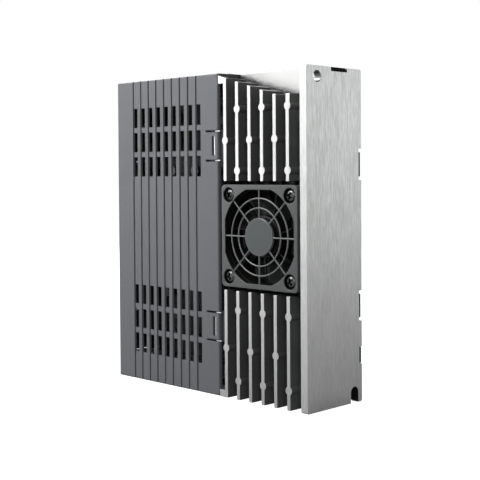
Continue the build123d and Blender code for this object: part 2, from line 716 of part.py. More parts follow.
for name, low in zip(("upper_network_port", "lower_network_port"), network_lows):
    mid = low + network_wide / 2
    with BuildPart() as network_port:
        block(port_x, (port_front - port_deep, port_front), (low, low + network_wide))
        block((port_x[0] + 3.0, port_x[0] + 9.8), (port_front - 12, port_front), (mid - 5.9, mid + 5.9),
              Mode.SUBTRACT)
        block((port_x[0] + 9.8, port_x[0] + 11.6), (port_front - 12, port_front), (mid - 2.2, mid + 2.2),
              Mode.SUBTRACT)
        # eight contact springs across the socket's floor
        for i in range(8):
            z = mid - 3.57 + 1.02 * i
            block((port_x[0] + 3.0, port_x[0] + 3.9), (port_front - 11, port_front - 4),
                  (z - 0.25, z + 0.25))
    save(network_port, name)

with BuildPart() as signal_port:
    mid_x = (signal_x[0] + signal_x[1]) / 2
    block(signal_x, (port_front - 15, port_front), signal_z)
    block((mid_x - 3.2, mid_x + 3.2), (port_front - 7, port_front), (signal_z[0] + 2, signal_z[1] - 2),
          Mode.SUBTRACT)
    block((mid_x - 1.1, mid_x + 1.1), (port_front - 7, port_front - 0.8), (signal_z[0] + 4, signal_z[1] - 4))
save(signal_port, "signal_port")

with BuildPart() as encoder_port:
    mid_x = (encoder_x[0] + encoder_x[1]) / 2
    block(encoder_x, (port_front - 15, port_front), encoder_z)
    block((mid_x - 4.2, mid_x + 4.2), (port_front - 9, port_front), (encoder_z[0] + 1.3, encoder_z[1] - 1.3),
          Mode.SUBTRACT)
    for z in (encoder_z[0] + 3.5, sum(encoder_z) / 2, encoder_z[1] - 3.5):
        for x in (mid_x - 1.6, mid_x + 1.6):
            rod_y(x, (port_front - 9, port_front - 3.5), z, 0.8)
save(encoder_port, "encoder_port")

with BuildPart() as usb_port:
    block(usb_x, (port_front - 9, port_front), usb_z)
    block((usb_x[0] + 0.5, usb_x[1] - 0.5), (port_front - 6, port_front), (usb_z[0] + 0.6, usb_z[1] - 0.6),
          Mode.SUBTRACT)
    block((usb_x[0] + 1.6, usb_x[1] - 1.6), (port_front - 6, port_front - 1), (usb_z[0] + 2, usb_z[1] - 2))
save(usb_port, "usb_port")

# ================================================================ power board and what it carries
board_top = height - board_margin
module_x = (power_in + 1.2, base_in - 0.4)
with BuildPart() as power_board:
    block((power_x, power_in), (power_board_back, power_board_front), (board_margin, board_top))
    for place, z in board_post_places + front_boss_places:
        rod_x((power_x, power_in), place, z, screw_dia + 0.4, Mode.SUBTRACT)
    for place, z in module_screw_places:
        rod_x((power_x, power_in), place, z, 7.0, Mode.SUBTRACT)
save(power_board, "power_board")

with BuildPart() as board_screws:
    for place, z in board_post_places:
        rod_x((power_x, base_in + 0.8), place, z, screw_dia)
        rod_x((power_x - 1.8, power_x), place, z, screw_head_dia)
    for place, z in front_boss_places:
        rod_x((power_x - 6, power_in), place, z, screw_dia)
        rod_x((power_in, power_in + 1.8), place, z, screw_head_dia)
save(board_screws, "board_screws")

with BuildPart() as power_module:
    block(module_x, (module_back - 13, module_back + 13), (fan_z - 29, fan_z + 29))
    for place, z in module_screw_places:
        rod_x(module_x, place, z, screw_dia + 0.4, Mode.SUBTRACT)
    for i in range(9):
        z = fan_z - 20 + 5 * i
        for place in (module_back - 11.5, module_back + 11.5):
            block((power_in, module_x[0]), (place - 0.4, place + 0.4), (z - 0.6, z + 0.6))
save(power_module, "power_module")

rectifier_z = (fan_z + 38.0, fan_z + 54.0)
with BuildPart() as rectifier:
    block(module_x, (22.0, 42.0), rectifier_z)
    for i in range(4):
        z = rectifier_z[0] + 2.5 + 3.6 * i
        block((power_in, module_x[0]), (40.0, 40.8), (z - 0.5, z + 0.5))
save(rectifier, "rectifier")

with BuildPart() as thermal_pads:
    block((module_x[1], base_in), (module_back - 13, module_back + 13), (fan_z - 29, fan_z + 29))
    block((module_x[1], base_in), (22.0, 42.0), rectifier_z)
    for place, z in module_screw_places:
        rod_x((module_x[1], base_in), place, z, screw_dia + 0.4, Mode.SUBTRACT)
save(thermal_pads, "thermal_pads")

with BuildPart() as module_screws:
    for place, z in module_screw_places:
        rod_x((module_x[0], base_in + 1.4), place, z, screw_dia)
        rod_x((module_x[0] - 1.8, module_x[0]), place, z, screw_head_dia)
save(module_screws, "module_screws")

# link capacitors lie along the power board behind the control board
capacitor_dia = 20.0
capacitor_back = 72.0
capacitor_long = 45.0
for name, low in (("lower_capacitor", 14.0), ("upper_capacitor", 64.0)):
    with BuildPart() as capacitor:
        with BuildSketch(Plane.XY.offset(low)):
            with Locations((power_in + 0.3 + capacitor_dia / 2, y_at(capacitor_back))):
                Circle(capacitor_dia / 2)
        extrude(amount=capacitor_long)
        fillet(capacitor.edges().filter_by(GeomType.CIRCLE), 0.8)
    save(capacitor, name)

with BuildPart() as inrush_relay:
    block((power_in, power_in + 10), (64.0, 80.0), (114.0, 133.0))
    fillet(inrush_relay.edges().filter_by(Axis.X), 0.5)
save(inrush_relay, "inrush_relay")

choke_place = (72.0, 143.0)
with BuildPart() as filter_choke:
    with BuildSketch(side_plane(power_in)):
        with Locations((y_at(choke_place[0]), choke_place[1])):
            Circle(7.5)
            Circle(3.5, mode=Mode.SUBTRACT)
    extrude(amount=6.5)
    fillet(filter_choke.edges().filter_by(GeomType.CIRCLE), 1.0)
save(filter_choke, "filter_choke")

# ================================================================ control board and what it carries
spacer_places = [(90.0, 24.0), (90.0, 112.0), (108.0, 24.0), (108.0, 112.0)]
with BuildPart() as control_board:
    block((control_x, control_in), (control_back, control_front), (control_low, control_high))
    for place, z in spacer_places:
        rod_x((control_x, control_in), place, z, screw_dia + 0.4, Mode.SUBTRACT)
save(control_board, "control_board")

with BuildPart() as board_spacers:
    for place, z in spacer_places:
        with BuildSketch(side_plane(power_in)):
            with Locations((y_at(place), z)):
                RegularPolygon(2.75, 6, major_radius=False)
        extrude(amount=control_space)
        rod_x((control_x - 4, control_x), place, z, screw_dia + 2 * thread_gap, Mode.SUBTRACT)
save(board_spacers, "board_spacers")

with BuildPart() as spacer_screws:
    for place, z in spacer_places:
        rod_x((control_x - 3.5, control_in), place, z, screw_dia)
        rod_x((control_in, control_in + 1.8), place, z, screw_head_dia)
save(spacer_screws, "spacer_screws")

with BuildPart() as board_link:
    block((power_in, control_x), (100.0, 105.0), (44.0, 84.0))
save(board_link, "board_link")

with BuildPart() as display_link:
    block((control_in, control_in + 5), (119.0, display_board_back), (112.5, 127.0))
save(display_link, "display_link")

chips = ((95.0, 92.0, 14.0, 1.5), (95.0, 68.0, 16.0, 1.8), (95.0, 46.0, 9.0, 1.2), (106.0, 36.0, 7.0, 1.2))
with BuildPart() as control_chips:
    for place, z, span, thick in chips:
        block((control_in, control_in + thick), (place - span / 2, place + span / 2),
              (z - span / 2, z + span / 2))
save(control_chips, "control_chips")

with BuildPart() as small_capacitors:
    for place, z in ((108.0, 56.0), (108.0, 48.0), (108.0, 96.0)):
        rod_x((control_in, control_in + 7), place, z, 6.3)
save(small_capacitors, "small_capacitors")

# ================================================================ earth bracket
# Steel strip from the casting to the two earth screws at the foot of the front.
with BuildPart() as earth_bracket:
    arm_x = (base_in - bracket_thick, base_in)
    block(arm_x, (earth_link_place[0] - 5, panel_back), (bracket_low, bracket_high))
    block((-earth_screw_x - bracket_end, earth_screw_x + bracket_end),
          (panel_back - bracket_thick, panel_back), (bracket_low, bracket_high))
    rod_x(arm_x, *earth_link_place, screw_dia + 0.4, Mode.SUBTRACT)
    for x in earth_screw_places:
        rod_y(x, (panel_back - 3.4, panel_back), earth_z, 6.4)
        rod_y(x, (panel_back - 3.4, panel_back), earth_z, earth_screw_dia + 2 * thread_gap, Mode.SUBTRACT)
save(earth_bracket, "earth_bracket")

with BuildPart() as earth_screws:
    for x in earth_screw_places:
        rod_y(x, (panel_back - 6, panel_back), earth_z, earth_screw_dia)
        rod_y(x, (panel_back, depth - 0.2), earth_z, earth_head_dia)
        block((x - 2.2, x + 2.2), (depth - 1.2, depth), (earth_z - 0.45, earth_z + 0.45), Mode.SUBTRACT)
        block((x - 0.45, x + 0.45), (depth - 1.2, depth), (earth_z - 2.2, earth_z + 2.2), Mode.SUBTRACT)
save(earth_screws, "earth_screws")

with BuildPart() as earth_link_screw:
    rod_x((arm_x[0], base_in + 1.4), *earth_link_place, screw_dia)
    rod_x((arm_x[0] - 1.8, arm_x[0]), *earth_link_place, screw_head_dia)
save(earth_link_screw, "earth_link_screw")
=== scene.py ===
from math import cos, pi, radians, sin

import bmesh
import bpy
from mathutils import Matrix, Vector


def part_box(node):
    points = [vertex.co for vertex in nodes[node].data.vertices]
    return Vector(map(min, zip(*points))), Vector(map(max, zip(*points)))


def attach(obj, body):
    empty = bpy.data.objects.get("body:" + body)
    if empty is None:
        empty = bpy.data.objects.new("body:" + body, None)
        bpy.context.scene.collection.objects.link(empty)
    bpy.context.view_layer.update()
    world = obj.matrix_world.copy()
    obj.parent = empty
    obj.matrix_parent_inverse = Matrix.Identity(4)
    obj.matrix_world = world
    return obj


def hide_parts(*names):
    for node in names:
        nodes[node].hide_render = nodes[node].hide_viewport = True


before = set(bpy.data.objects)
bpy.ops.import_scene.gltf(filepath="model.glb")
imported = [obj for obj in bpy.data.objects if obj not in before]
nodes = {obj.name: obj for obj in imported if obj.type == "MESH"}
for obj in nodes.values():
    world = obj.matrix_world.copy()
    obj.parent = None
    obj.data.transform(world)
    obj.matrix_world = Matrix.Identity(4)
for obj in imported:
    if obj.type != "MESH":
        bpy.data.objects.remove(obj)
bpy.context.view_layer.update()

# Camera ------------------------------------------------------------------------------------------
# A long lens, far back and nearly level, looks at the upright corner between the mounting face and
# the fan side.  A small shift of the lens, with no tilt to speak of, keeps upright edges upright.
scene = bpy.context.scene
camera_data = bpy.data.cameras.new("camera")
camera_data.sensor_width = 36.0
camera_data.lens = 77.1
camera_data.shift_y = -0.102
camera = bpy.data.objects.new("camera", camera_data)
scene.collection.objects.link(camera)
scene.camera = camera
stand_x, stand_y, stand_z = 0.3729, 0.3768, 0.1115
turn, tilt, roll = radians(134.85), radians(1.10), radians(-0.37)
toward = Vector((sin(turn) * cos(tilt), -cos(turn) * cos(tilt), sin(tilt)))
right = Vector((0, 0, 1)).cross(toward).normalized()
up = toward.cross(right)
right, up = cos(roll) * right + sin(roll) * up, cos(roll) * up - sin(roll) * right
camera.matrix_world = Matrix((
    (right.x, up.x, toward.x, stand_x),
    (right.y, up.y, toward.y, stand_y),
    (right.z, up.z, toward.z, stand_z),
    (0, 0, 0, 1)))

# Studio ------------------------------------------------------------------------------------------
# A wide white floor in a white surround.  Soft boxes hang above and stand at the cover's side, low
# down, at the plate's side, far out on the fan's side and in front.
scene.view_settings.view_transform = "Standard"


def add(tree, kind, settings=(), **values):
    """A shader node with its settings, and its inputs by number: a value, or a socket to link."""
    made = tree.nodes.new(kind)
    for key, value in dict(settings).items():
        setattr(made, key, value)
    for key, value in values.items():
        socket = made.inputs[int(key[1:])]
        if isinstance(value, bpy.types.NodeSocket):
            tree.links.new(value, socket)
        else:
            socket.default_value = value
    return made


floor_shape = bmesh.new()
bmesh.ops.create_circle(floor_shape, cap_ends=True, segments=64, radius=6.0)
floor_mesh = bpy.data.meshes.new("floor")
floor_shape.to_mesh(floor_mesh)
floor_shape.free()
floor = bpy.data.objects.new("floor", floor_mesh)
scene.collection.objects.link(floor)
floor_paint = bpy.data.materials.new("white_floor")
floor_paint.use_nodes = True
tree = floor_paint.node_tree
shader = tree.nodes["Principled BSDF"]
shader.inputs["Base Color"].default_value = (0.30, 0.30, 0.30, 1)
shader.inputs["Roughness"].default_value = 0.9
shader.inputs["Specular IOR Level"].default_value = 0.0
rays = add(tree, "ShaderNodeLightPath")
glow = add(tree, "ShaderNodeEmission", i0=(1, 1, 1, 1), i1=0.98)
lit = add(tree, "ShaderNodeAddShader", i0=shader.outputs[0], i1=glow.outputs[0])
seen = add(tree, "ShaderNodeMixShader", i0=rays.outputs["Is Camera Ray"], i1=shader.outputs[0],
           i2=lit.outputs[0])
tree.links.new(seen.outputs[0], tree.nodes["Material Output"].inputs["Surface"])
floor_mesh.materials.append(floor_paint)

world = bpy.data.worlds.new("surround")
world.use_nodes = True
tree = world.node_tree
rays = add(tree, "ShaderNodeLightPath")
strength = add(tree, "ShaderNodeMapRange", i0=rays.outputs["Is Camera Ray"], i3=0.17, i4=1.0)
tree.nodes["Background"].inputs["Color"].default_value = (1, 1, 1, 1)
tree.links.new(strength.outputs[0], tree.nodes["Background"].inputs["Strength"])
scene.world = world

# Each soft box: its name, where it stands, what it faces, its side in metres and its power in watts.
for name, stand, aim, size, power in (
        ("top_softbox", (0.20, -0.10, 0.40), (0.0, 0.0, 0.14), 0.24, 1.6),
        ("cover_side_softbox", (0.42, -0.40, 0.46), (0.02, 0.0, 0.14), 0.46, 2.25),
        ("low_softbox", (0.56, -0.64, 0.10), (0.0, 0.0, 0.03), 0.18, 0.80),
        ("plate_side_softbox", (-0.62, 0.55, 0.16), (0.0, 0.06, 0.04), 0.80, 2.15),
        ("fill_softbox", (0.78, 0.82, 0.60), (0.0, 0.0, 0.12), 0.45, 5.5),
        ("front_softbox", (-0.45, -0.75, 0.45), (0.0, -0.06, 0.10), 0.5, 6.5)):
    light_data = bpy.data.lights.new(name, "AREA")
    light_data.size = size
    light_data.energy = power
    light = bpy.data.objects.new(name, light_data)
    light.location = stand
    light.rotation_euler = (Vector(aim) - Vector(stand)).to_track_quat("-Z", "Y").to_euler()
    scene.collection.objects.link(light)

# Mounting plate ----------------------------------------------------------------------------------
# Four-millimetre aluminium plate, sheared and punched to shape and brushed up and down, with its
# sharp edges broken.  Four screws through the casting's foot hold it.
MM = 0.001


def place_piece(name, shape, materials, body="chassis", stands_for=(), smooth=35):
    """Turn a finished bmesh into a piece that rides on a body and stands for CAD nodes."""
    mesh = bpy.data.meshes.new(name)
    shape.to_mesh(mesh)
    shape.free()
    for material in materials:
        mesh.materials.append(material)
    mesh.shade_smooth()
    mesh.set_sharp_from_angle(angle=radians(smooth))
    piece = bpy.data.objects.new(name, mesh)
    scene.collection.objects.link(piece)
    level = piece.modifiers.new("level_flats", "WEIGHTED_NORMAL")
    level.mode = "FACE_AREA"
    level.weight = 80
    level.keep_sharp = True
    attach(piece, body)
    if stands_for:
        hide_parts(*stands_for)
    return piece


def eased_shape(node, round_mm, segments=2):
    """A merged copy of a CAD node's shape with its sharp edges rounded."""
    shape = bmesh.new()
    shape.from_mesh(nodes[node].data)
    bmesh.ops.remove_doubles(shape, verts=shape.verts, dist=0.002 * MM)
    bmesh.ops.dissolve_limit(shape, angle_limit=radians(0.6), verts=shape.verts, edges=shape.edges)
    sharp = [e for e in shape.edges if len(e.link_faces) == 2 and e.calc_face_angle(0) > radians(30)]
    bmesh.ops.bevel(shape, geom=sharp, offset=round_mm * MM, segments=segments, profile=0.5,
                    affect="EDGES", clamp_overlap=True, material=-1)
    bmesh.ops.triangulate(shape, faces=[f for f in shape.faces if len(f.verts) > 4])
    return shape


def finish(name, colour, roughness, metallic=0.0):
    """A new material with plain values, its node tree and its surface shader."""
    material = bpy.data.materials.new(name)
    material.use_nodes = True
    shader = material.node_tree.nodes["Principled BSDF"]
    shader.inputs["Base Color"].default_value = (*colour, 1)
    shader.inputs["Roughness"].default_value = roughness
    shader.inputs["Metallic"].default_value = metallic
    return material, material.node_tree, shader


def maths(tree, operation, *values):
    """The result of a Math node."""
    numbered = {f"i{number}": value for number, value in enumerate(values)}
    return add(tree, "ShaderNodeMath", {"operation": operation}, **numbered).outputs[0]


def stretched(tree, place, factors):
    """Coordinates multiplied by a factor for each axis."""
    return add(tree, "ShaderNodeVectorMath", {"operation": "MULTIPLY"}, i0=place, i1=factors).outputs[0]


def noise(tree, place, scale, detail=2.0, roughness=0.5):
    """The value of a noise texture."""
    return add(tree, "ShaderNodeTexNoise", i0=place, i2=scale, i3=detail, i4=roughness).outputs[0]


def spread(tree, value, from_low, from_high, to_low, to_high):
    """A value moved from one range to another."""
    return add(tree, "ShaderNodeMapRange", i0=value, i1=from_low, i2=from_high, i3=to_low,
               i4=to_high).outputs[0]


def mixed(tree, share, first, second):
    """A colour between two others."""
    return add(tree, "ShaderNodeMix", {"data_type": "RGBA"}, i0=share, i6=first, i7=second).outputs[2]


def surface(tree, shader, tone, height, bump_share, bump_mm, rough=None):
    """Link a tone, a bump and, where it varies, a roughness to a shader."""
    bump = add(tree, "ShaderNodeBump", i0=bump_share, i1=bump_mm * MM)
    tree.links.new(height, bump.inputs["Height"])
    tree.links.new(tone, shader.inputs["Base Color"])
    tree.links.new(bump.outputs[0], shader.inputs["Normal"])
    if rough is not None:
        tree.links.new(rough, shader.inputs["Roughness"])


def new_group(name, input_name, input_type, *output_names):
    """An empty node group with one input and some values put out, and its two end nodes."""
    group = bpy.data.node_groups.new(name, "ShaderNodeTree")
    group.interface.new_socket(input_name, in_out="INPUT", socket_type=input_type)
    for output_name in output_names:
        group.interface.new_socket(output_name, in_out="OUTPUT", socket_type="NodeSocketFloat")
    return group, group.nodes.new("NodeGroupInput"), group.nodes.new("NodeGroupOutput")


def placed_group(tree, group, value):
    """A node group placed in a material, with its one input set."""
    placed = tree.nodes.new("ShaderNodeGroup")
    placed.node_tree = group
    placed.inputs[0].default_value = value
    return placed


# Streaks along one direction for brushed or drawn metal: fine ones, and broad ones for its tone.
streak_group, given, result = new_group("brushed_streaks", "Scale", "NodeSocketVector", "Fine", "Broad")
drawn_out = stretched(streak_group, add(streak_group, "ShaderNodeTexCoord").outputs["Object"],
                      given.outputs[0])
wider = stretched(streak_group, drawn_out, (0.06, 0.06, 0.30))
streak_group.links.new(noise(streak_group, drawn_out, 1.0, 4.0, 0.65), result.inputs["Fine"])
streak_group.links.new(noise(streak_group, wider, 1.0, 4.0, 0.6), result.inputs["Broad"])


def brushed(name, dark_tone, light_tone, rough_low, rough_high, scale, bump_mm):
    """Metal with streaks: tone, gloss and height all follow the brushing."""
    material, tree, shader = finish(name, light_tone, rough_low, 1.0)
    streaks = placed_group(tree, streak_group, scale)
    fine, broad = streaks.outputs["Fine"], streaks.outputs["Broad"]
    fine_share, broad_share = 0.80, 0.30
    both = maths(tree, "MULTIPLY_ADD", fine, fine_share, maths(tree, "MULTIPLY", broad, broad_share))
    tone = mixed(tree, spread(tree, both, 0.30, 0.80, 0.0, 1.0), (*dark_tone, 1), (*light_tone, 1))
    surface(tree, shader, tone, fine, 0.35, bump_mm, spread(tree, fine, 0.3, 0.7, rough_high, rough_low))
    return material


plate_metal = brushed("brushed_aluminium", (0.47, 0.48, 0.475), (0.71, 0.72, 0.71), 0.34, 0.50,
                      (2300.0, 2300.0, 170.0), 0.010)
sheared_metal = brushed("sheared_edge", (0.52, 0.53, 0.52), (0.74, 0.75, 0.74), 0.40, 0.54,
                        (1500.0, 1500.0, 120.0), 0.010)
# The walls of the plate's holes and notches get a much darker metal: painted shade inside them.
hole_wall_painted_shade = brushed("punched_edge_painted_shade", (0.10, 0.10, 0.10), (0.26, 0.26, 0.26), 0.30, 0.46,
                        (1500.0, 90.0, 1500.0), 0.012)
plate = eased_shape("mounting_plate", 0.3, 3)
plate_low, plate_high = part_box("mounting_plate")
border = 0.5 * MM
# Hole and notch walls take the painted shade; the edge facing the cover side takes the sheared edge.
for face in plate.faces:
    middle = face.calc_center_median()
    inside_border = (plate_low.x + border < middle.x < plate_high.x - border
                     and border < middle.z < plate_high.z - border)
    if inside_border and abs(face.normal.y) < 0.8:
        face.material_index = 1
    elif face.normal.x > 0.5:
        face.material_index = 2
place_piece("brushed_plate", plate, [plate_metal, hole_wall_painted_shade, sheared_metal],
            stands_for=["mounting_plate"])

# Finned casting ----------------------------------------------------------------------------------
# One aluminium die casting, blackened all over.  The fin ends and everything above the slanted cut
# over the fins are then milled back to bare metal.  Just above the cut that bare metal darkens towards
# black in a ragged band: painted shade where the fins shade the wall.
sink_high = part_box("heat_sink")[1]
milled_face = sink_high.x - 0.9 * MM
wall_face = sink_high.x - 14.3 * MM
cut_flat = plate_high.z - 12.55 * MM
cut_start = plate_high.y - 20.0 * MM
cut_slope = 0.30
# Painted shade above the cut: nearly black at the low height, fading out by the high height, its edge made
# ragged by noise.
painted_shade_low, painted_shade_high, painted_shade_ragged = 2.0 * MM, 6.2 * MM, 5.0 * MM
casting, tree, shader = finish("blackened_casting", (0.02, 0.02, 0.02), 0.5)
coordinates = add(tree, "ShaderNodeTexCoord")
place = coordinates.outputs["Object"]
axes = add(tree, "ShaderNodeSeparateXYZ", i0=place)
facing = add(tree, "ShaderNodeSeparateXYZ", i0=coordinates.outputs["Normal"])
ahead = maths(tree, "MAXIMUM", maths(tree, "SUBTRACT", cut_start, axes.outputs["Y"]), 0.0)
cut_height = maths(tree, "MULTIPLY_ADD", ahead, cut_slope, cut_flat)
rise = maths(tree, "SUBTRACT", axes.outputs["Z"], cut_height)
above = maths(tree, "GREATER_THAN", rise, 0.0)
outside = maths(tree, "GREATER_THAN", axes.outputs["X"], wall_face)
square_on = maths(tree, "GREATER_THAN", facing.outputs["X"], 0.5)
far_out = maths(tree, "GREATER_THAN", axes.outputs["X"], milled_face)
fin_ends = maths(tree, "MULTIPLY", square_on, far_out)
bare = maths(tree, "MAXIMUM", maths(tree, "MULTIPLY", above, outside), fin_ends)
patches = noise(tree, place, 70.0, 4.0)
dark = mixed(tree, patches, (0.042, 0.043, 0.043, 1), (0.078, 0.079, 0.079, 1))
pale = mixed(tree, patches, (0.52, 0.52, 0.52, 1), (0.66, 0.66, 0.655, 1))
cutter_marks = add(tree, "ShaderNodeTexWave", {"wave_type": "RINGS", "rings_direction": "X"},
                   i0=place, i1=260.0, i2=1.5, i3=2.0)
milled = mixed(tree, cutter_marks.outputs[1], pale, (0.60, 0.60, 0.595, 1))
# Painted shade: the milled metal is mixed towards black just above the cut, with a noisy edge.
painted_shade_noise = noise(tree, stretched(tree, place, (1.0, 0.35, 1.0)), 420.0, 5.0, 0.7)
uneven_rise = maths(tree, "MULTIPLY_ADD", painted_shade_noise, painted_shade_ragged, rise)
past_painted_shade = add(tree, "ShaderNodeMapRange", {"interpolation_type": "SMOOTHSTEP"}, i0=uneven_rise,
            i1=painted_shade_low, i2=painted_shade_high, i3=0.08, i4=0.84)
milled_with_painted_shade = mixed(tree, maths(tree, "MAXIMUM", past_painted_shade.outputs[0], fin_ends), (0.0, 0.0, 0.0, 1), milled)
surface(tree, shader, mixed(tree, bare, dark, milled_with_painted_shade), noise(tree, place, 1100.0, 3.0), 0.4, 0.03,
        spread(tree, bare, 0.0, 1.0, 0.55, 0.40))
tree.links.new(bare, shader.inputs["Metallic"])
place_piece("finned_casting", eased_shape("heat_sink", 0.15), [casting],
            stands_for=["heat_sink"])

# Steel screws inside -----------------------------------------------------------------------------
# Zinc-plated pan-head screws, cold-formed and rolled, that hold the plate, the boards, the power
# parts, the display and the earth strip.


def paint(material, *names):
    """Give CAD nodes a material in every slot."""
    for node_name in names:
        for held in nodes[node_name].material_slots:
            held.material = material


zinc_steel = brushed("zinc_plated_steel", (0.42, 0.43, 0.45), (0.66, 0.66, 0.64), 0.24, 0.38,
                     (1500.0, 1500.0, 1500.0), 0.006)
paint(zinc_steel, "plate_screws", "board_screws", "module_screws", "display_screws", "earth_link_screw")

# Fan frame ---------------------------------------------------------------------------------------
# Black moulded square frame of a 50 mm axial fan, with a motor base on four struts.  The guard's
# four screws also hold it to the casting's posts.
# The texture below is for all moulded plastic: a fine grain for height and gloss, a mottle for tone.
moulding_group, given, result = new_group("moulded_texture", "Grain Scale", "NodeSocketFloat", "Grain",
                                          "Mottle")
place = add(moulding_group, "ShaderNodeTexCoord").outputs["Object"]
moulding_group.links.new(noise(moulding_group, place, given.outputs[0], 3.0), result.inputs["Grain"])
moulding_group.links.new(noise(moulding_group, place, 42.0, 4.0), result.inputs["Mottle"])


def moulded(name, dark_tone, light_tone, roughness, bump_mm=0.02, grain_scale=1500.0, shine=0.5):
    """Moulded plastic: slight mottling, a fine texture and an even satin gloss."""
    material, tree, shader = finish(name, light_tone, roughness)
    shader.inputs["Specular IOR Level"].default_value = shine
    texture = placed_group(tree, moulding_group, grain_scale)
    grain = texture.outputs["Grain"]
    tone = mixed(tree, texture.outputs["Mottle"], (*dark_tone, 1), (*light_tone, 1))
    surface(tree, shader, tone, grain, 0.4, bump_mm,
            spread(tree, grain, 0.3, 0.7, roughness - 0.07, roughness + 0.07))
    return material


fan_plastic = moulded("fan_plastic", (0.003, 0.003, 0.0027), (0.006, 0.006, 0.0055), 0.45, 0.008,
                      shine=0.22)
place_piece("fan_housing", eased_shape("fan_frame", 0.15), [fan_plastic],
            stands_for=["fan_frame"])

# Fan motor ---------------------------------------------------------------------------------------
# Sintered bronze sleeve bearing pressed in the frame's tube, a ground steel shaft, and copper coils
# wound on the four poles of the stator.
bronze = brushed("sintered_bronze", (0.28, 0.17, 0.08), (0.45, 0.29, 0.14), 0.42, 0.60,
                 (2600.0, 2600.0, 2600.0), 0.01)
copper_wire = brushed("enamelled_winding", (0.16, 0.045, 0.015), (0.42, 0.15, 0.06), 0.26, 0.42,
                      (300.0, 5200.0, 5200.0), 0.03)
paint(bronze, "fan_bearing")
paint(zinc_steel, "fan_shaft")
paint(copper_wire, "fan_stator")

# Fan rotor ---------------------------------------------------------------------------------------
# Black moulded hub cup, pressed on the shaft, with seven curved, swept blades that lean into the
# air they push.


def join(shape, other):
    """Add another shape to this one."""
    carrier = bpy.data.meshes.new("carrier")
    other.to_mesh(carrier)
    other.free()
    shape.from_mesh(carrier)
    bpy.data.meshes.remove(carrier)


rotor_low, rotor_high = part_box("fan_rotor")
fan_low, fan_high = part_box("fan_frame")
fan_y, fan_z = (fan_low.y + fan_high.y) / 2, (fan_low.z + fan_high.z) / 2
hub_floor, hub_top, hub_radius = rotor_low.x, rotor_high.x, 10.5 * MM
rotor = bmesh.new()
hub_profile = [
    (hub_floor + 0.1 * MM, 9.0 * MM),
    (hub_floor + 0.1 * MM, hub_radius),
    (hub_top - 1.2 * MM, hub_radius),
    (hub_top - 0.75 * MM, hub_radius - 0.12 * MM),
    (hub_top - 0.35 * MM, hub_radius - 0.35 * MM),
    (hub_top - 0.1 * MM, hub_radius - 0.8 * MM),
    (hub_top, hub_radius - 1.4 * MM),
    (hub_top, 7.4 * MM),
    (hub_top - 0.25 * MM, 7.1 * MM),
    (hub_top - 0.25 * MM, 0.0)]
points = [rotor.verts.new((x, r, 0)) for x, r in hub_profile]
edges = [rotor.edges.new(pair) for pair in zip(points, points[1:])]
bmesh.ops.spin(rotor, geom=points + edges, cent=(0, 0, 0), axis=(1, 0, 0), angle=2 * pi, steps=48,
               use_merge=True)
bmesh.ops.remove_doubles(rotor, verts=rotor.verts, dist=0.005 * MM)
# Each blade widens, turns flatter and sweeps forward towards its tip, which has rounded corners.
blade_count, blade_thick, blade_camber = 7, 0.55 * MM, 1.1 * MM
blade_root, blade_tip, blade_mid = 10.0 * MM, 22.0 * MM, (hub_floor + hub_top) / 2
root_chord_mm, chord_gain_mm, corner_trim_mm, corner_start = 7.2, 3.4, 2.4, 0.75
root_pitch, pitch_gain, tip_sweep = 44, 14, radians(9)
for number in range(blade_count):
    blade = bmesh.new()
    bmesh.ops.create_grid(blade, x_segments=10, y_segments=8, size=0.5)
    for point in blade.verts:
        along, across = point.co.x + 0.5, point.co.y
        radius = blade_root + (blade_tip - blade_root) * along
        trim = corner_trim_mm * max(along - corner_start, 0) * abs(across) * 4
        chord = (root_chord_mm + chord_gain_mm * along - trim) * MM
        pitch = radians(root_pitch + pitch_gain * along)
        camber = blade_camber * (1 - 4 * across * across)
        axial = across * chord * cos(pitch) - camber * sin(pitch)
        around = across * chord * sin(pitch) + camber * cos(pitch)
        sweep = around / radius + tip_sweep * along * along
        point.co = (blade_mid + axial, radius * cos(sweep), radius * sin(sweep))
    bmesh.ops.solidify(blade, geom=blade.faces[:], thickness=blade_thick)
    bmesh.ops.recalc_face_normals(blade, faces=blade.faces)
    bmesh.ops.rotate(blade, verts=blade.verts, cent=(0, 0, 0),
                     matrix=Matrix.Rotation(2 * pi * number / blade_count, 3, "X"))
    join(rotor, blade)
bmesh.ops.recalc_face_normals(rotor, faces=rotor.faces)
bmesh.ops.translate(rotor, verts=rotor.verts, vec=(0, fan_y, fan_z))
place_piece("fan_blades", rotor, [fan_plastic], body="rotor", stands_for=["fan_rotor"])

# Fan leads ---------------------------------------------------------------------------------------
# Two copper wires in red plastic sleeves, led through a hole in the casting, and the nylon plug on
# the power board that they end in.
wire_sleeve = moulded("wire_sleeve", (0.16, 0.012, 0.010), (0.22, 0.018, 0.014), 0.40, 0.004)
nylon = moulded("natural_nylon", (0.55, 0.52, 0.44), (0.66, 0.63, 0.54), 0.38, 0.006)
paint(wire_sleeve, "fan_leads")
paint(nylon, "fan_plug")

# Fan guard ---------------------------------------------------------------------------------------
# Grey moulded finger guard: a square frame with a screw well in each corner, a boss disc, two round
# rings and eight round spokes.  Four screws hold it over the fan.


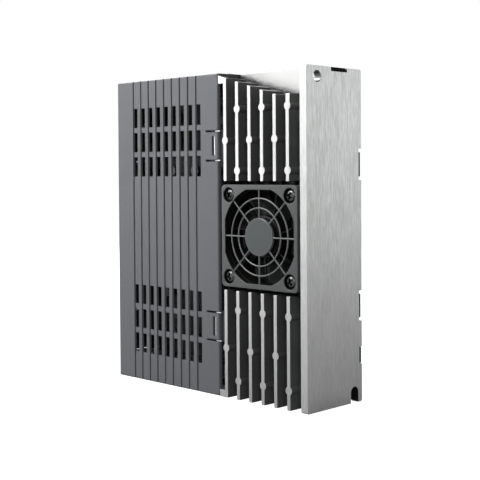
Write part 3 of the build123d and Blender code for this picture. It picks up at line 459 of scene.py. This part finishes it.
def carve(shape, cutters):
    """Take other closed shapes out of a closed shape."""
    work = bpy.data.objects.new("work", bpy.data.meshes.new("work"))
    shape.to_mesh(work.data)
    shape.clear()
    scene.collection.objects.link(work)
    for cutter in cutters:
        knife = bpy.data.objects.new("knife", bpy.data.meshes.new("knife"))
        cutter.to_mesh(knife.data)
        cutter.free()
        scene.collection.objects.link(knife)
        cut = work.modifiers.new("cut", "BOOLEAN")
        cut.operation = "DIFFERENCE"
        cut.solver = "EXACT"
        cut.object = knife
        done = bpy.data.meshes.new_from_object(work.evaluated_get(bpy.context.evaluated_depsgraph_get()))
        work.modifiers.clear()
        old = work.data
        work.data = done
        bpy.data.meshes.remove(old)
        bpy.data.objects.remove(knife)
    shape.from_mesh(work.data)
    bpy.data.objects.remove(work)


def turned(shape, degrees, axis):
    """Turn a whole shape about an axis through the origin."""
    bmesh.ops.rotate(shape, verts=shape.verts, cent=(0, 0, 0),
                     matrix=Matrix.Rotation(radians(degrees), 3, axis))


def round_bar(x_low, x_high, y, z, radius, segments=48):
    """A round bar along X."""
    bar = bmesh.new()
    bmesh.ops.create_cone(bar, cap_ends=True, segments=segments, radius1=radius, radius2=radius,
                          depth=x_high - x_low)
    turned(bar, 90, "Y")
    bmesh.ops.translate(bar, verts=bar.verts, vec=((x_low + x_high) / 2, y, z))
    return bar


guard_low, guard_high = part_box("fan_guard")
guard_back, guard_face = guard_low.x, guard_high.x
guard_y, guard_z = (guard_low.y + guard_high.y) / 2, (guard_low.z + guard_high.z) / 2
guard_side = guard_high.y - guard_low.y
corner_round, rim_round = 2.2 * MM, 0.45 * MM
window_radius, window_flat = 24.0 * MM, 22.6 * MM
screw_reach, past = 20 * MM, 1 * MM
well_radius, well_deep, shank_hole = 3.6 * MM, 2.2 * MM, 1.75 * MM
guard = bmesh.new()
bmesh.ops.create_cube(guard, size=1.0)
bmesh.ops.scale(guard, verts=guard.verts, vec=(guard_face - guard_back, guard_side, guard_side))
corners = [e for e in guard.edges if abs(e.verts[0].co.x - e.verts[1].co.x) > 1 * MM]
bmesh.ops.bevel(guard, geom=corners, offset=corner_round, segments=6, profile=0.5, affect="EDGES",
                material=-1)
bmesh.ops.translate(guard, verts=guard.verts, vec=((guard_back + guard_face) / 2, guard_y, guard_z))
window = round_bar(guard_back - past, guard_face + past, guard_y, guard_z, window_radius, 96)
for way in ((0, 1, 0), (0, -1, 0), (0, 0, 1), (0, 0, -1)):
    flat = Vector((0, guard_y, guard_z)) + Vector(way) * window_flat
    sliced = bmesh.ops.bisect_plane(window, geom=window.verts[:] + window.edges[:] + window.faces[:],
                                    plane_co=flat, plane_no=way, clear_outer=True)
    bmesh.ops.holes_fill(window, edges=[e for e in sliced["geom_cut"] if isinstance(e, bmesh.types.BMEdge)])
bmesh.ops.recalc_face_normals(window, faces=window.faces)
cutters = [window]
screw_places = [(guard_y + i * screw_reach, guard_z + j * screw_reach) for i in (-1, 1) for j in (-1, 1)]
for y, z in screw_places:
    cutters.append(round_bar(guard_face - well_deep, guard_face + past, y, z, well_radius))
    cutters.append(round_bar(guard_back - past, guard_face, y, z, shank_hole, 24))
carve(guard, cutters)
bmesh.ops.remove_doubles(guard, verts=guard.verts, dist=0.003 * MM)
bmesh.ops.dissolve_limit(guard, angle_limit=radians(0.8), verts=guard.verts, edges=guard.edges)
rims = [e for e in guard.edges if len(e.link_faces) == 2 and e.calc_face_angle(0) > radians(60)
        and min(v.co.x for v in e.verts) > guard_face - 0.1 * MM]
bmesh.ops.bevel(guard, geom=rims, offset=rim_round, segments=4, profile=0.5, affect="EDGES",
                clamp_overlap=True, material=-1)
bmesh.ops.triangulate(guard, faces=[f for f in guard.faces if len(f.verts) > 4])
bar_x, bar_radius = guard_face - 0.72 * MM, 0.40 * MM
for ring_radius in (13.9 * MM, 18.55 * MM):
    loop = bmesh.new()
    section = bmesh.ops.create_circle(loop, segments=12, radius=bar_radius,
                                      matrix=Matrix.Translation((0, ring_radius, 0)))["verts"]
    bmesh.ops.spin(loop, geom=section + loop.edges[:], cent=(0, 0, 0), axis=(1, 0, 0), angle=2 * pi,
                   steps=96, use_merge=True)
    bmesh.ops.recalc_face_normals(loop, faces=loop.faces)
    bmesh.ops.translate(loop, verts=loop.verts, vec=(bar_x, guard_y, guard_z))
    join(guard, loop)
spoke_count, spoke_middle, spoke_long = 8, 16.4 * MM, 16.0 * MM
for number in range(spoke_count):
    spoke = bmesh.new()
    bmesh.ops.create_cone(spoke, cap_ends=True, segments=12, radius1=bar_radius, radius2=bar_radius,
                          depth=spoke_long, matrix=Matrix.Translation((0, 0, spoke_middle)))
    turned(spoke, 360 / spoke_count * number, "X")
    bmesh.ops.translate(spoke, verts=spoke.verts, vec=(bar_x, guard_y, guard_z))
    join(guard, spoke)
boss_back, boss_face, boss_radius, boss_round = (
    guard_face - 1.4 * MM, guard_face - 0.12 * MM, 9.15 * MM, 0.4 * MM)
boss = round_bar(boss_back, boss_face, guard_y, guard_z, boss_radius, 72)
boss_rim = [e for e in boss.edges if min(v.co.x for v in e.verts) > boss_face - 0.08 * MM]
bmesh.ops.bevel(boss, geom=boss_rim, offset=boss_round, segments=4, profile=0.5, affect="EDGES",
                material=-1)
join(guard, boss)
guard_plastic = moulded("guard_plastic", (0.050, 0.053, 0.054), (0.060, 0.063, 0.064), 0.36, 0.010)
disc_plastic = moulded("guard_disc_plastic", (0.049, 0.056, 0.057), (0.058, 0.065, 0.066), 0.5, 0.008)
# Painted highlight: the same plastic as the frame, made lighter where the round bars catch light.
bar_painted_highlight = moulded("guard_bar_painted_highlight", (0.100, 0.104, 0.106), (0.120, 0.124, 0.126), 0.30, 0.006)
# The disc has its own grey.  The bars are the frame's plastic painted lighter, a painted highlight,
# and the walls of the wells and the window are painted black, a painted shade.
frame_slot, disc_slot, painted_highlight_slot, painted_shade_slot = range(4)
disc_edge, bars_edge, window_edge, well_edge = 8.75 * MM, 21.5 * MM, 24.4 * MM, 3.7 * MM
bars_back, inside_start = guard_face - 1.5 * MM, guard_face - 0.5 * MM
for face in guard.faces:
    middle = face.calc_center_median()
    off_axis = Vector((middle.y - guard_y, middle.z - guard_z)).length
    sunk = middle.x < inside_start
    if off_axis < disc_edge:
        face.material_index = disc_slot if face.normal.x > 0.9 else frame_slot
    elif off_axis < bars_edge and middle.x > bars_back:
        face.material_index = painted_highlight_slot
    # Painted shade: the sunk walls of the wells and of the window take the black fan plastic.
    elif any(abs(middle.y - y) < well_edge and abs(middle.z - z) < well_edge for y, z in screw_places):
        face.material_index = painted_shade_slot if sunk else frame_slot
    elif off_axis < window_edge and abs(face.normal.x) < 0.5 and sunk:
        face.material_index = painted_shade_slot
place_piece("finger_guard", guard, [guard_plastic, disc_plastic, bar_painted_highlight, fan_plastic],
            stands_for=["fan_guard"])

# Guard screws ------------------------------------------------------------------------------------
# Four black-oxide steel screws with domed pan heads and cross recesses, driven down into the
# guard's wells and through the fan into the casting's posts.


def screw_head(radius, height, base_x, recess_wide, recess_deep):
    """A domed pan head that points along +X, with a cross recess."""
    dome = ((0.0, 0.0), (0.0, 1.0), (0.32, 1.0), (0.55, 0.97), (0.76, 0.84), (0.90, 0.62), (0.98, 0.3),
            (1.0, 0.0))
    head = bmesh.new()
    chain = [head.verts.new((up_share * height, out_share * radius, 0)) for up_share, out_share in dome]
    lines = [head.edges.new(pair) for pair in zip(chain, chain[1:])]
    bmesh.ops.spin(head, geom=chain + lines, cent=(0, 0, 0), axis=(1, 0, 0), angle=2 * pi, steps=36,
                   use_merge=True)
    bmesh.ops.remove_doubles(head, verts=head.verts, dist=0.004 * MM)
    bmesh.ops.recalc_face_normals(head, faces=head.faces)
    arms = []
    for quarter in (0, 90):
        arm = bmesh.new()
        bmesh.ops.create_cone(arm, cap_ends=True, segments=4, radius1=0.35 * recess_wide,
                              radius2=1.05 * recess_wide, depth=recess_deep * 2)
        turned(arm, 45, "Z")
        bmesh.ops.scale(arm, verts=arm.verts, vec=(1.35, 0.50, 1.0))
        turned(arm, 90, "Y")
        turned(arm, quarter, "X")
        bmesh.ops.translate(arm, verts=arm.verts, vec=(height, 0, 0))
        arms.append(arm)
    carve(head, arms)
    # Faces inside the cross recess take the second material: painted shade.
    for face in head.faces:
        middle = face.calc_center_median()
        in_recess = Vector((middle.y, middle.z)).length < 0.75 * radius and face.normal.x < 0.8
        face.material_index = int(in_recess)
    bmesh.ops.translate(head, verts=head.verts, vec=(base_x, 0, 0))
    return head


screw_low, screw_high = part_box("guard_screws")
head_radius, head_height, shank_radius = 2.75 * MM, 2.0 * MM, 1.5 * MM
recess_wide, recess_deep = 3.0 * MM, 1.3 * MM
head_low = screw_high.x - head_height
heads = bmesh.new()
for (y, z), degrees in zip(screw_places, (12, 50, 28, -20)):
    head = screw_head(head_radius, head_height, head_low, recess_wide, recess_deep)
    turned(head, degrees, "X")
    bmesh.ops.translate(head, verts=head.verts, vec=(0, y, z))
    join(heads, head)
    join(heads, round_bar(screw_low.x, head_low + 0.2 * MM, y, z, shank_radius, 24))
black_steel = brushed("black_oxide_steel", (0.100, 0.100, 0.103), (0.180, 0.180, 0.185), 0.30, 0.42,
                      (1800.0, 1800.0, 1800.0), 0.006)
# Near-black for the cross recesses: painted shade inside them.
recess_painted_shade = brushed("recess_painted_shade", (0.004, 0.004, 0.004), (0.010, 0.010, 0.010), 0.45, 0.60,
                       (1800.0, 1800.0, 1800.0), 0.006)
place_piece("guard_screw_set", heads, [black_steel, recess_painted_shade],
            stands_for=["guard_screws"], smooth=40)

# Housing -----------------------------------------------------------------------------------------
# Black moulded shell, finely textured, that closes round the boards.  Its hooks fill the plate's edge
# notches, and there they are painted near-black and dull as painted shade.  Two zinc-plated screws
# hold it to the casting's foot.
housing_plastic = moulded("housing_plastic", (0.022, 0.022, 0.024), (0.032, 0.032, 0.034), 0.46)
hook_painted_shade = moulded("hook_painted_shade", (0.003, 0.003, 0.003), (0.006, 0.006, 0.006), 0.75, shine=0.1)
hook_start = plate_low.y + 0.3 * MM
hook_side_low, hook_side_high, hook_reach = plate_low.x + 0.6 * MM, plate_low.x + 1.0 * MM, 0.5 * MM
shell = eased_shape("main_housing", 0.15)
# Faces inside the plate's notches take the painted shade.
for face in shell.faces:
    face.material_index = int(face.calc_center_median().y > hook_start)
for point in shell.verts:
    if point.co.y > hook_start and hook_side_low < point.co.x < hook_side_high:
        point.co.x -= hook_reach
place_piece("moulded_shell", shell, [housing_plastic, hook_painted_shade],
            stands_for=["main_housing"])
place_piece("shell_screws", eased_shape("housing_screws", 0.1), [zinc_steel],
            stands_for=["housing_screws"])

# Side cover --------------------------------------------------------------------------------------
# Satin grey moulded cover with upright grooves, two blocks of air slots and two snap tongues that
# hold it on the casting's catches.
cover_plastic = moulded("cover_plastic", (0.094, 0.098, 0.104), (0.110, 0.114, 0.121), 0.44, 0.012,
                        shine=0.36)
place_piece("vented_cover", eased_shape("side_cover", 0.14), [cover_plastic],
            stands_for=["side_cover"])

# Front bezel -------------------------------------------------------------------------------------
# Grey moulded front with openings for everything behind it.  It holds a smoked acrylic window over
# the display and a clear light pipe for the charge lamp.


def clear_plastic(name, colour, roughness, clearness, ior, haze_scale, rough_low, rough_high):
    """Clear plastic with a slightly uneven gloss."""
    material, tree, shader = finish(name, colour, roughness)
    shader.inputs["Transmission Weight"].default_value = clearness
    shader.inputs["IOR"].default_value = ior
    haze = noise(tree, add(tree, "ShaderNodeTexCoord").outputs["Object"], haze_scale)
    tree.links.new(spread(tree, haze, 0.0, 1.0, rough_low, rough_high), shader.inputs["Roughness"])
    return material


panel_plastic = moulded("panel_plastic", (0.045, 0.046, 0.049), (0.058, 0.060, 0.063), 0.42)
place_piece("front_bezel", eased_shape("front_panel", 0.18), [panel_plastic],
            stands_for=["front_panel"])
window_tint = clear_plastic("smoked_window", (0.25, 0.05, 0.045), 0.06, 0.9, 1.49, 500.0, 0.04, 0.10)
place_piece("display_pane", eased_shape("display_window", 0.15), [window_tint],
            stands_for=["display_window"])
lamp_clear = clear_plastic("light_pipe", (0.80, 0.32, 0.22), 0.15, 0.7, 1.5, 900.0, 0.10, 0.22)
place_piece("charge_light", eased_shape("charge_lamp", 0.25), [lamp_clear],
            stands_for=["charge_lamp"])

# Keys --------------------------------------------------------------------------------------------
# Five round keys of pale grey plastic, each on an epoxy dome switch of the display board.  The
# switch pushes the key back out against the bezel.
key_plastic = moulded("key_plastic", (0.21, 0.215, 0.22), (0.25, 0.255, 0.26), 0.40, 0.008)
for key in ("mode_key", "up_key", "down_key", "shift_key", "set_key"):
    place_piece(key + "_cap", eased_shape(key, 0.3, 3), [key_plastic], body=key,
                stands_for=[key])
epoxy = moulded("moulded_epoxy", (0.010, 0.010, 0.011), (0.018, 0.018, 0.019), 0.42, 0.010)
paint(epoxy, "key_switches")

# Display -----------------------------------------------------------------------------------------
# Five-digit seven-segment display, soldered to its board: a filled black body with pale, unlit
# resin segments in its face.
module_low, module_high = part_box("display_module")
display_body = moulded("display_body", (0.010, 0.009, 0.009), (0.015, 0.014, 0.014), 0.30, 0.004)
segment_resin = moulded("segment_resin", (0.30, 0.27, 0.26), (0.38, 0.34, 0.33), 0.34, 0.004)
digit_count, digit_pitch, digit_half, digit_tall = 5, 5.6 * MM, 1.45 * MM, 2.9 * MM
bar_wide, bar_thick, level_bar, upright_bar = 0.5 * MM, 0.12 * MM, 2.1 * MM, 2.3 * MM
digit_lean = 0.10
face_y = module_low.y - 0.06 * MM
face_z = (module_low.z + module_high.z) / 2
# The segments of one digit: steps sideways and up from its middle, and whether the bar is level.
segments = [(0, 2, 1), (0, 0, 1), (0, -2, 1), (-1, 1, 0), (1, 1, 0), (-1, -1, 0), (1, -1, 0)]
digits = eased_shape("display_module", 0.2)
for number in range(digit_count):
    digit_x = (number - (digit_count - 1) / 2) * digit_pitch
    for side_step, up_step, level in segments:
        bar = bmesh.new()
        bmesh.ops.create_cube(bar, size=1.0)
        bar_size = (level_bar, bar_thick, bar_wide) if level else (bar_wide, bar_thick, upright_bar)
        bmesh.ops.scale(bar, verts=bar.verts, vec=bar_size)
        bar_corners = [e for e in bar.edges if abs(e.verts[0].co.y - e.verts[1].co.y) > 0.05 * MM]
        bmesh.ops.bevel(bar, geom=bar_corners, offset=0.22 * MM, segments=1, profile=0.5,
                        affect="EDGES", material=-1)
        lean = digit_lean * up_step * digit_tall / 2
        bmesh.ops.translate(bar, verts=bar.verts, vec=(digit_x + side_step * digit_half - lean, face_y,
                                                       face_z + up_step * digit_tall / 2))
        for face in bar.faces:
            face.material_index = 1
        join(digits, bar)
place_piece("digit_display", digits, [display_body, segment_resin],
            stands_for=["display_module"])

# Terminals ---------------------------------------------------------------------------------------
# Two black moulded terminal blocks at the front edge of the power board, with a square wire mouth
# and a slotted, zinc-plated clamp screw for every pole.
terminal_plastic = moulded("terminal_plastic", (0.014, 0.014, 0.015), (0.022, 0.022, 0.023), 0.38)
for block in ("supply_terminals", "motor_terminals"):
    place_piece(block + "_block", eased_shape(block, 0.2), [terminal_plastic],
                stands_for=[block])
place_piece("clamp_screws", eased_shape("terminal_screws", 0.15), [zinc_steel],
            stands_for=["terminal_screws"])

# Sockets -----------------------------------------------------------------------------------------
# Black moulded sockets with gilt contacts, two network jacks, a signal socket and an encoder socket,
# soldered at the front edge of the control board.  The small serial socket's shell is tinned steel.


def within(shape, low, high, index):
    """Give the faces inside a box another of the piece's materials."""
    for face in shape.faces:
        middle = face.calc_center_median()
        if all(low[i] < middle[i] < high[i] for i in range(3)):
            face.material_index = index


socket_plastic = moulded("socket_plastic", (0.016, 0.016, 0.017), (0.026, 0.026, 0.027), 0.36, 0.010)
gilt = brushed("gilt_contact", (0.55, 0.36, 0.12), (0.85, 0.62, 0.26), 0.20, 0.34,
               (2000.0, 300.0, 2000.0), 0.004)
tinned = brushed("tinned_shell", (0.50, 0.50, 0.49), (0.72, 0.72, 0.70), 0.24, 0.38,
                 (900.0, 900.0, 900.0), 0.006)
# Each socket, and the box that its contacts fill, in millimetres from the socket's lowest corner.
for socket, piece_name, materials, slot, contacts_low, contacts_high in (
        ("upper_network_port", "upper_network_port_shell", [socket_plastic, gilt], "socket_plastic",
         (2.9, 5.4, 1.9), (4.1, 15.6, 14.1)),
        ("lower_network_port", "lower_network_port_shell", [socket_plastic, gilt], "socket_plastic",
         (2.9, 5.4, 1.9), (4.1, 15.6, 14.1)),
        ("signal_port", "signal_port_shell", [socket_plastic, gilt], "socket_plastic",
         (3.7, 0.4, 3.9), (6.3, 13.0, 24.1)),
        ("encoder_port", "encoder_port_shell", [socket_plastic, gilt], "socket_plastic",
         (3.3, 3.2, 2.9), (7.7, 8.8, 10.1)),
        ("usb_port", "serial_shell", [tinned, socket_plastic], "socket_metal",
         (1.4, 0.2, 1.8), (2.6, 7.0, 6.2))):
    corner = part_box(socket)[0]
    shape = eased_shape(socket, 0.12)
    within(shape, corner + Vector(contacts_low) * MM, corner + Vector(contacts_high) * MM, 1)
    place_piece(piece_name, shape, materials, stands_for=[socket])

# Boards ------------------------------------------------------------------------------------------
# Glass-epoxy boards under dark solder resist, with tracks just showing through it.  The power board
# is screwed to the casting, and the control board to bronze spacers with black screws.
board_resist, tree, shader = finish("dark_solder_resist", (0.006, 0.014, 0.010), 0.42)
shader.inputs["Specular IOR Level"].default_value = 0.25
tracks = add(tree, "ShaderNodeTexVoronoi", {"feature": "DISTANCE_TO_EDGE"},
             i0=add(tree, "ShaderNodeTexCoord").outputs["Object"], i2=240.0)
line = spread(tree, tracks.outputs[0], 0.05, 0.09, 1.0, 0.0)
surface(tree, shader, mixed(tree, line, (0.004, 0.010, 0.007, 1), (0.010, 0.026, 0.017, 1)), line,
        0.3, 0.03)
paint(board_resist, "power_board", "control_board", "display_board")
paint(bronze, "board_spacers")
paint(black_steel, "spacer_screws")

# Power parts and chips ---------------------------------------------------------------------------
# Black epoxy packages, a potted choke and black links, soldered to the boards, with sleeved
# electrolytic capacitors beside them.  Grey silicone pads carry heat from them into the casting.
can_sleeve = moulded("can_sleeve", (0.010, 0.012, 0.020), (0.016, 0.018, 0.028), 0.28, 0.003)
silicone = moulded("thermal_silicone", (0.26, 0.29, 0.32), (0.34, 0.37, 0.40), 0.7, 0.03, 900.0)
paint(epoxy, "power_module", "rectifier", "inrush_relay", "filter_choke", "control_chips", "board_link",
      "display_link")
paint(can_sleeve, "lower_capacitor", "upper_capacitor", "small_capacitors")
paint(silicone, "thermal_pads")

# Earth strip -------------------------------------------------------------------------------------
# Zinc-plated steel strip, bent from sheet and screwed to the casting, that ends at two cross-head
# earth screws in the foot of the front.
paint(zinc_steel, "earth_bracket")
place_piece("earth_screw_pair", eased_shape("earth_screws", 0.25, 3), [zinc_steel],
            stands_for=["earth_screws"])
